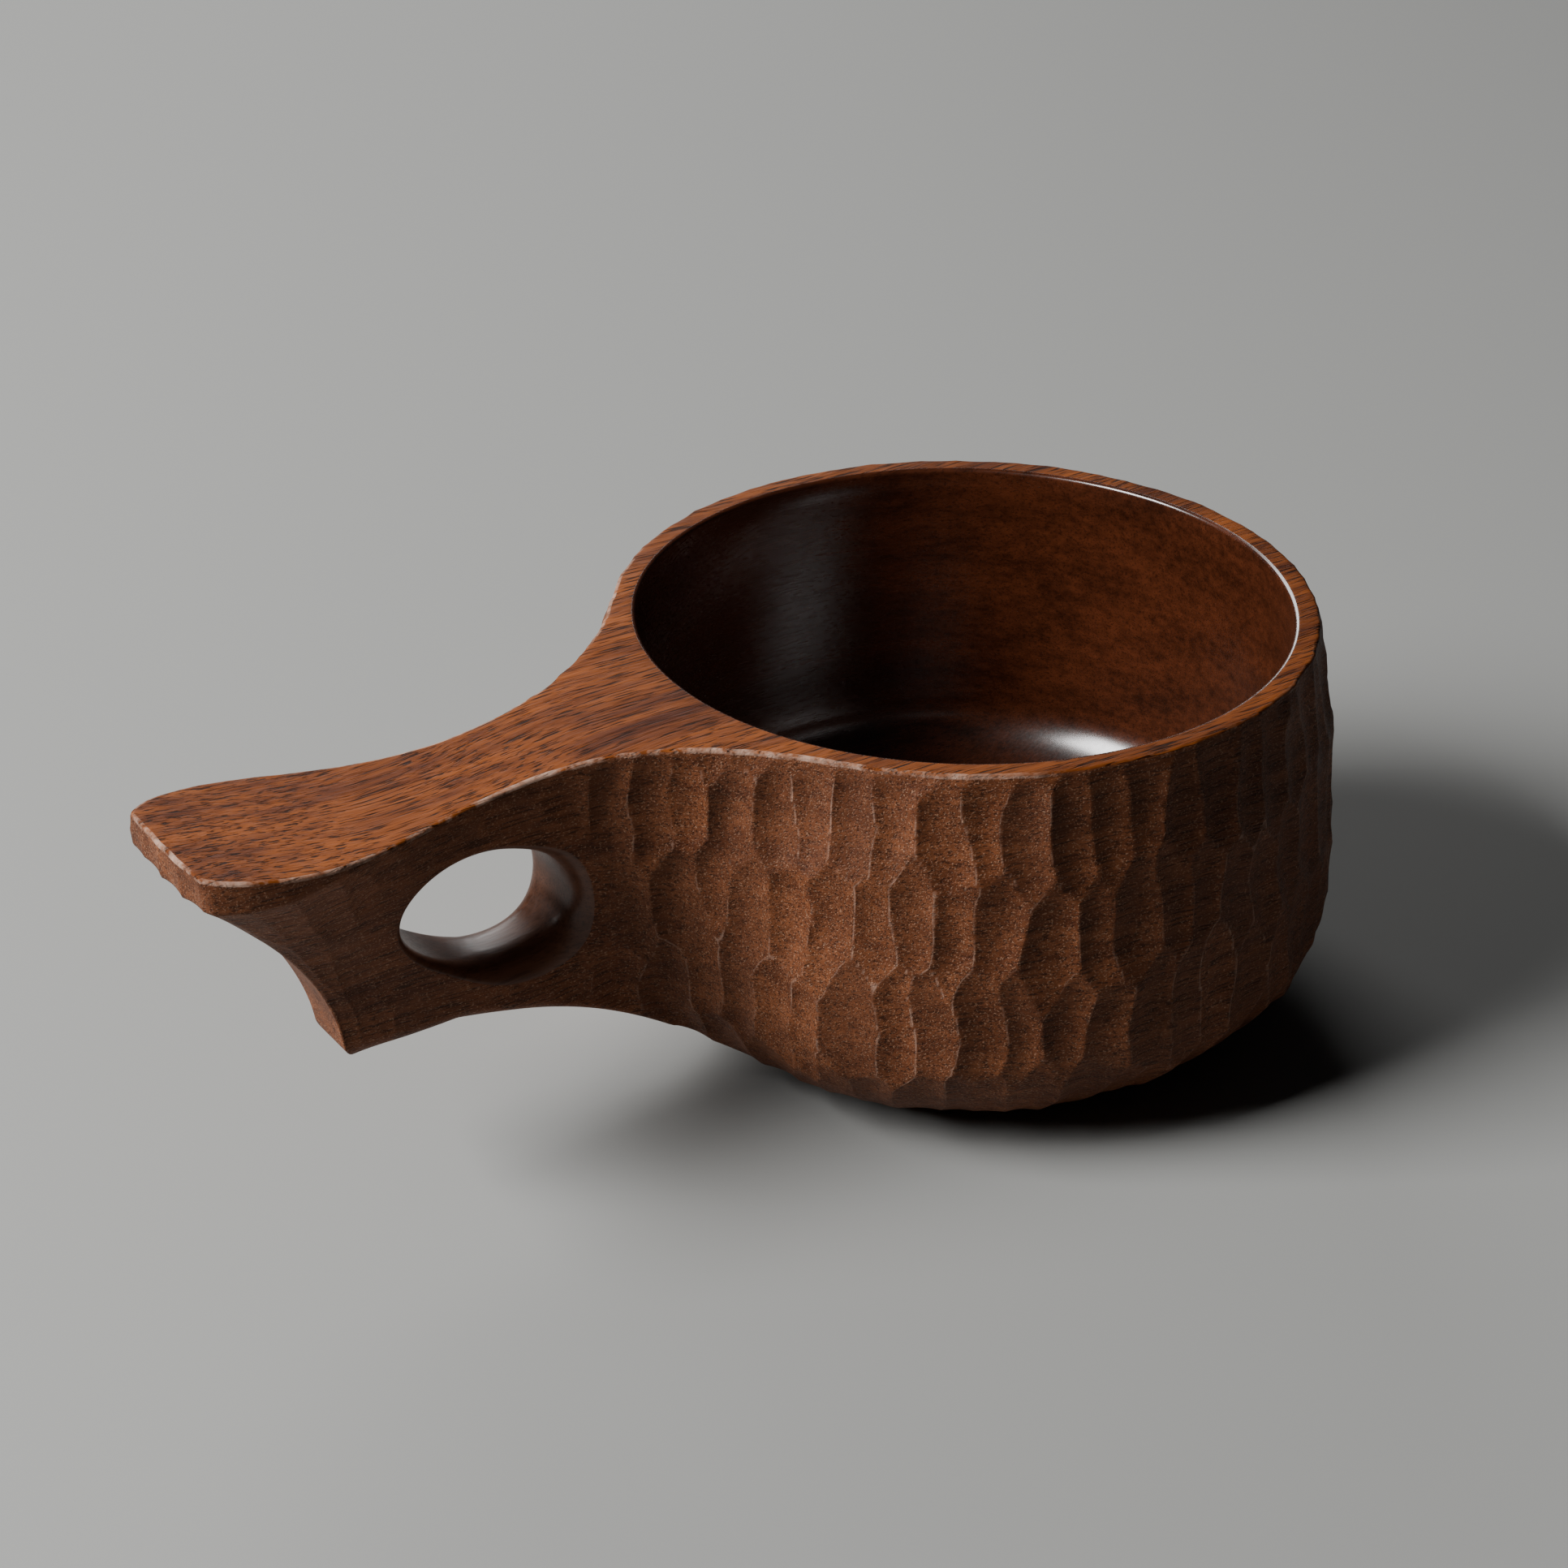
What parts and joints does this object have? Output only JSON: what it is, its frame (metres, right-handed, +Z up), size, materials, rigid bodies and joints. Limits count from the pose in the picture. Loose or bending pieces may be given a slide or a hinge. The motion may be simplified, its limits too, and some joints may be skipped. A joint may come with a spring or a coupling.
{
  "type": "kuksa cup",
  "caption": "Carved wooden drinking cup: round bellied bowl with a flared thumb-plate handle pierced by an oval finger hole, cut from one block.",
  "frame": {"origin": "centre of the flat foot, on the surface that the cup stands on", "axes": "+Z up along the bowl's axis; the handle points along -X; the XZ plane is the plane of symmetry"},
  "size_m": [0.174, 0.1052, 0.06],
  "materials": {
    "walnut": "oiled satin, tool-faceted outside, smooth inside"
  },
  "bodies": {
    "root": {"cup_body": "walnut"}
  },
  "joints": []
}
